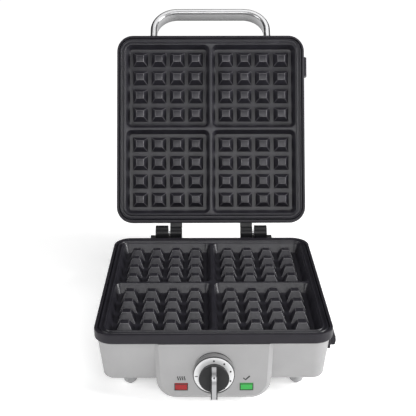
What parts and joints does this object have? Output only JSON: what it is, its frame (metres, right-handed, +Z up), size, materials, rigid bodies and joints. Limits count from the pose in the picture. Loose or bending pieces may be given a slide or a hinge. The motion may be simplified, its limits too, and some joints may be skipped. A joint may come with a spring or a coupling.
{
  "type": "waffle maker",
  "caption": "Electric waffle maker for square waffles: hinged lid with a bar handle, removable grid plates, thermostat dial and signal lamps in a front console, silver housing.",
  "frame": {"origin": "on the table, under the middle of the open machine's bounding box", "axes": "+X to the machine's right hand as seen from the front, +Y from the dial to the hinge, +Z up"},
  "size_m": [0.2909, 0.5332, 0.3962],
  "materials": {
    "silver_shell": "satin silver paint on pressed metal",
    "dark_rim": "fine matt charcoal",
    "black_plastic": "matt black, moulded",
    "silver_plastic": "silver-grey, moulded",
    "rubber": "matt black rubber",
    "chrome_ring": "polished plating",
    "knob_plastic": "satin dark grey",
    "bright_strip": "brushed bright insert",
    "shaft_steel": "turned steel",
    "red_lens": "clear red, polished",
    "green_lens": "clear green, polished",
    "lamp_glass": "clear glass tubes",
    "board": "laminated board",
    "ceramic": "unglazed ceramic",
    "zinc_steel": "zinc plated sheet",
    "terminal_plastic": "cream moulding",
    "wire_sleeve": "woven heat-proof sleeve",
    "hinge_black": "satin black paint on castings",
    "pin_steel": "ground pins",
    "screw_steel": "plated screws",
    "handle_metal": "brushed along its length",
    "nonstick": "cast, dark non-stick coating",
    "button_plastic": "fine matt charcoal",
    "reflector_alu": "bright pressed sheet",
    "element_steel": "oxidised sheath",
    "terminal_brass": "plain",
    "clip_steel": "spring steel"
  },
  "bodies": {
    "base": {"base_housing": "silver_shell", "base_rim": "dark_rim", "bottom_cover": "black_plastic", "bottom_cover_screws": "screw_steel", "feet": "silver_plastic", "foot_pads": "rubber", "lower_chassis": "zinc_steel", "lower_reflector": "reflector_alu", "lower_heating_element": "element_steel", "lower_element_terminals": "terminal_brass", "lower_element_clips": "zinc_steel", "lower_release_clip": "clip_steel", "lower_chassis_screws": "screw_steel", "lower_thermal_fuse": "ceramic", "lower_button_guide": "dark_rim", "dial_ring": "chrome_ring", "thermostat": "ceramic", "thermostat_bracket": "zinc_steel", "power_lamp_lens": "red_lens", "ready_lamp_lens": "green_lens", "neon_lamps": "lamp_glass", "lamp_board": "board", "terminal_block": "terminal_plastic", "internal_wiring": "wire_sleeve", "power_inlet_bush": "rubber", "hinge_lug_left": "hinge_black", "hinge_lug_right": "hinge_black", "hinge_pins": "pin_steel", "hinge_screws": "screw_steel"},
    "lower_plate": {"lower_waffle_plate": "nonstick"},
    "lower_button": {"lower_release_button": "button_plastic"},
    "knob": {"dial_knob": "knob_plastic", "dial_knob_strip": "bright_strip", "dial_shaft": "shaft_steel"},
    "lid": {"lid_cover": "silver_shell", "lid_rim": "dark_rim", "lid_handle": "handle_metal", "handle_screws": "screw_steel", "hinge_arm_left": "hinge_black", "hinge_arm_right": "hinge_black", "upper_chassis": "zinc_steel", "upper_reflector": "reflector_alu", "upper_heating_element": "element_steel", "upper_element_terminals": "terminal_brass", "upper_element_clips": "zinc_steel", "upper_release_clip": "clip_steel", "upper_chassis_screws": "screw_steel", "upper_thermal_fuse": "ceramic", "upper_button_guide": "dark_rim"},
    "upper_plate": {"upper_waffle_plate": "nonstick"},
    "upper_button": {"upper_release_button": "button_plastic"}
  },
  "joints": [
    {"name": "lid_hinge", "type": "hinge", "parent": "base", "child": "lid", "pos_m": [0, 0.0661, 0.0908], "axis": [1, 0, 0], "range_deg": [0, 113.6]},
    {"name": "lower_plate_tilt", "type": "hinge", "parent": "base", "child": "lower_plate", "pos_m": [-0.138, -0.0915, 0.0854], "axis": [0, 1, 0], "range_deg": [-7, 0]},
    {"name": "upper_plate_tilt", "type": "hinge", "parent": "lid", "child": "upper_plate", "pos_m": [-0.138, 0.12901, 0.2353], "axis": [0, 0.4003, 0.9164], "range_deg": [-7, 0]},
    {"name": "lower_button_press", "type": "slide", "parent": "base", "child": "lower_button", "axis": [-1, 0, 0], "range_m": [0, 0.004], "stiffness_N_per_m": 1500, "deforming": ["lower_release_clip"]},
    {"name": "upper_button_press", "type": "slide", "parent": "lid", "child": "upper_button", "axis": [-1, 0, 0], "range_m": [0, 0.004], "stiffness_N_per_m": 1500, "deforming": ["upper_release_clip"]},
    {"name": "dial_turn", "type": "hinge", "parent": "base", "child": "knob", "pos_m": [0, -0.2415, 0.0387], "axis": [0, 1, 0], "range_deg": [-90, 144]}
  ]
}
